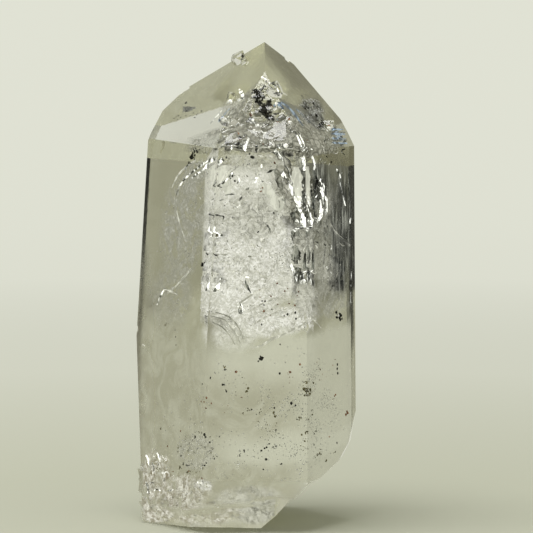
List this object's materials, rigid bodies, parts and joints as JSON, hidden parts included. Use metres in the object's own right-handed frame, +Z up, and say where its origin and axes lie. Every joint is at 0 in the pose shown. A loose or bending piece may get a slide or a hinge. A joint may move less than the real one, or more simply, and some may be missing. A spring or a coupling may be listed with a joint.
{
  "type": "skeletal smoky quartz crystal",
  "caption": "Upright pointed smoky quartz crystal, clear with smoky veils and dark specks, standing on its broken foot.",
  "frame": {"origin": "centre of the crystal's footprint, on the surface that it stands on", "axes": "+Z up along the crystal, -Y towards the viewer of the picture, +X to the right"},
  "size_m": [0.033, 0.0312, 0.0719],
  "materials": {
    "smoky_quartz": "clear, glassy faces with a faint olive smoke"
  },
  "bodies": {
    "root": {"quartz_crystal": "smoky_quartz"}
  },
  "joints": []
}
